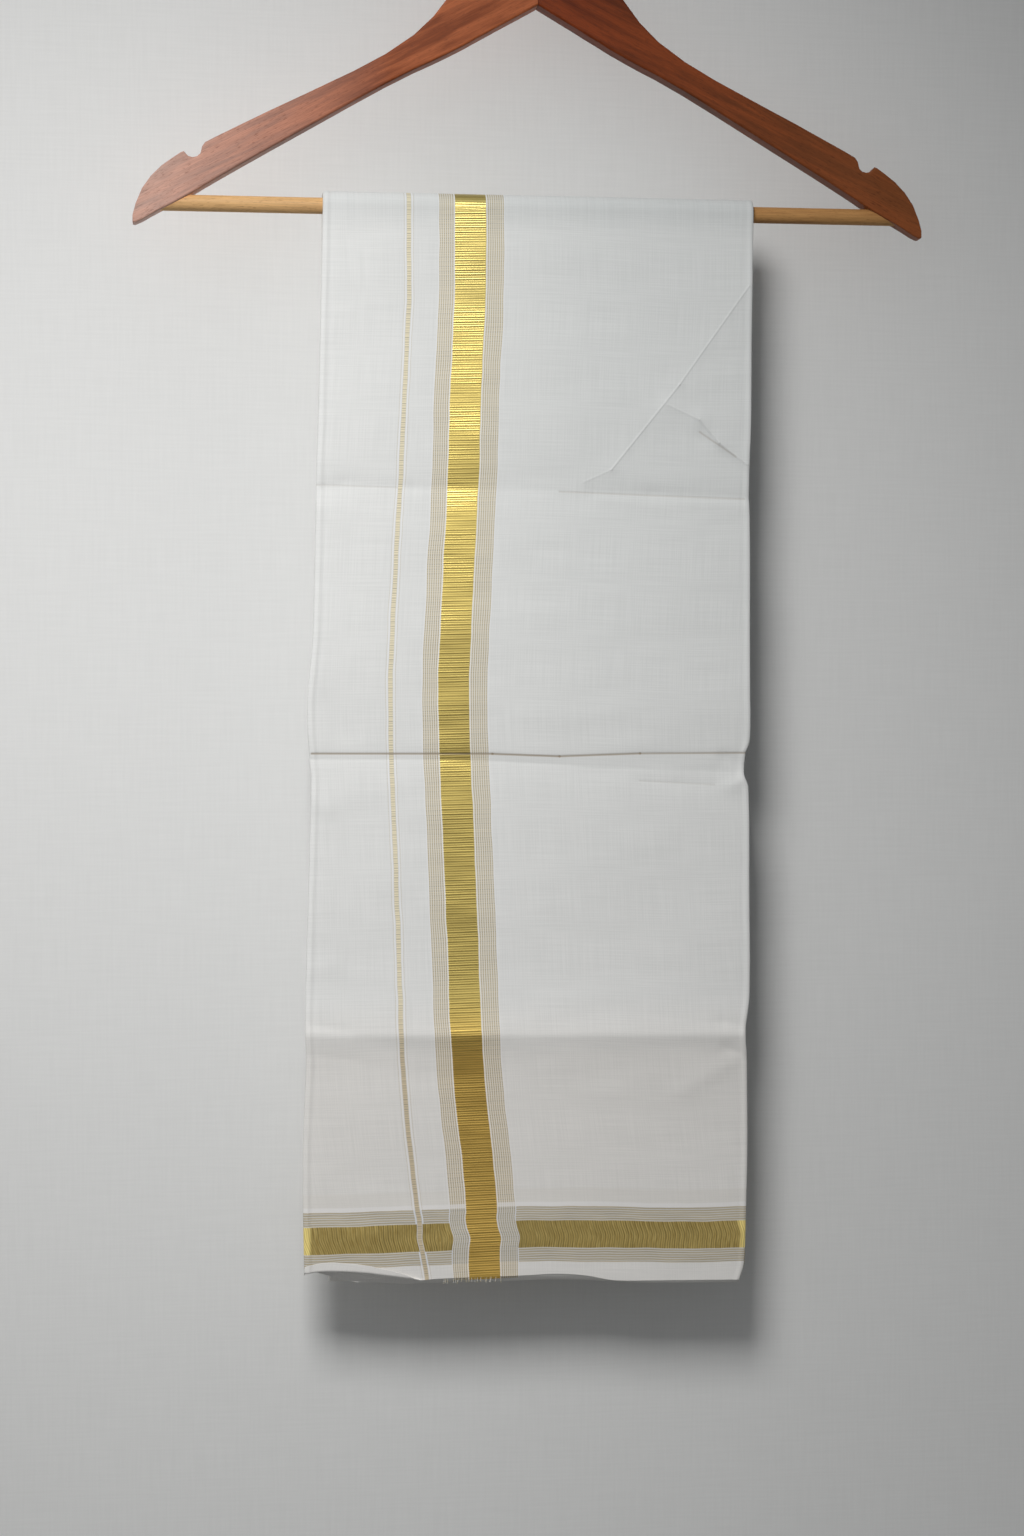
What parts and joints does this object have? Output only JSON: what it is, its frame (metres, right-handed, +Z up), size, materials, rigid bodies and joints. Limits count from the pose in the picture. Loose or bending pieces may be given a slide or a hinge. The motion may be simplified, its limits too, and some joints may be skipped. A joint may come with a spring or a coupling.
{
  "type": "folded dhoti cloth on a wooden coat hanger",
  "caption": "Long white cotton dhoti with woven gold borders, folded to a strip and hung over the bar of a flat wooden coat hanger with a wire hook.",
  "frame": {"origin": "inside top of the hook, where it sits on a rail", "axes": "+X to the right seen from the front, the front faces -Y, +Z up"},
  "size_m": [0.4586, 0.0222, 0.8519],
  "materials": {
    "cotton": "plain woven white cotton with shiny gold thread borders",
    "cotton_inner": "the same cotton, pressed plies",
    "arm_wood": "red-brown stain under satin varnish",
    "bar_wood": "honey coloured satin varnish",
    "hook_steel": "plated wire"
  },
  "bodies": {
    "root": {"front_fall": "cotton", "crown": "cotton", "back_fall": "cotton", "inner_layers_front": "cotton_inner", "inner_layers_crown": "cotton_inner", "inner_layers_back": "cotton_inner", "hanger_arm_left": "arm_wood", "hanger_arm_right": "arm_wood", "trouser_bar": "bar_wood", "hanger_hook": "hook_steel"}
  },
  "joints": []
}
